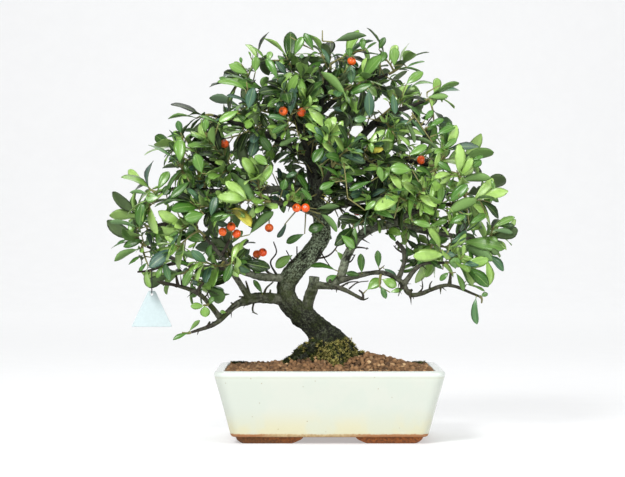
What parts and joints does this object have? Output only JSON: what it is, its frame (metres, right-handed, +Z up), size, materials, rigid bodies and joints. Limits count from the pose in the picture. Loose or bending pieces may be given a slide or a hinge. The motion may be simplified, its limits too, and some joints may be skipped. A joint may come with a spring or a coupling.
{
  "type": "firethorn bonsai",
  "caption": "Evergreen thorny shrub grown as a small informal tree with a winding trunk, leafy sprays and orange berries, in a glazed rectangular pot of gravelly soil.",
  "frame": {"origin": "middle of the whole plant's footprint, on the surface that the pot's feet stand on", "axes": "+Z up, +X to the right of the tree's front, +Y away from its front"},
  "size_m": [0.4188, 0.2422, 0.4216],
  "materials": {
    "glaze": "glossy cream glaze with a faint green tint, bare clay at the foot",
    "soil": "dry reddish-brown clay granules",
    "bark": "rough grey-brown bark",
    "leaf": "glossy evergreen leaf",
    "berry": "smooth orange-red berry skin",
    "tag_plastic": "pale satin sheet",
    "thread": "dark twisted thread",
    "mesh_plastic": "dark plastic net"
  },
  "bodies": {
    "root": {"pot": "glaze", "drain_mesh_left": "mesh_plastic", "drain_mesh_right": "mesh_plastic", "soil": "soil", "tree": "bark", "tag": "tag_plastic", "tag_thread": "thread", "left_end": "leaf", "left_under": "leaf", "left_inner_under": "leaf", "left_front": "leaf", "left_face": "leaf", "left_back_low": "leaf", "left_out": "leaf", "left_mid_front": "leaf", "left_high": "leaf", "left_high_front": "leaf", "left_mid_back": "leaf", "left_inner_front": "leaf", "crown_low_left": "leaf", "crown_left_back": "leaf", "crown_left_tip": "leaf", "crown_left_front": "leaf", "crown_front": "leaf", "apex_left": "leaf", "apex": "leaf", "apex_back": "leaf", "crown_right_tip": "leaf", "crown_right_front": "leaf", "crown_right_back": "leaf", "upper_right_tip": "leaf", "upper_right_front": "leaf", "right_fore_tip": "leaf", "right_fore_mid": "leaf", "middle_front": "leaf", "upper_back": "leaf", "right_back_tip": "leaf", "right_back_mid": "leaf", "right_far": "leaf", "right_inner_back": "leaf", "right_front_tip": "leaf", "right_front_mid": "leaf", "right_tip": "leaf", "right_mid_front": "leaf", "right_mid_low": "leaf", "right_low_tip": "leaf", "right_low_end": "leaf", "right_low_mid": "leaf", "low_left_end": "leaf", "low_left_leaf": "leaf", "back_left": "leaf", "berries_top": "berry", "berries_crown": "berry", "berries_left_high": "berry", "berries_centre": "berry", "berries_left": "berry", "berries_left_inner": "berry", "berries_left_low": "berry", "berries_right": "berry", "berries_right_low": "berry"}
  },
  "joints": []
}
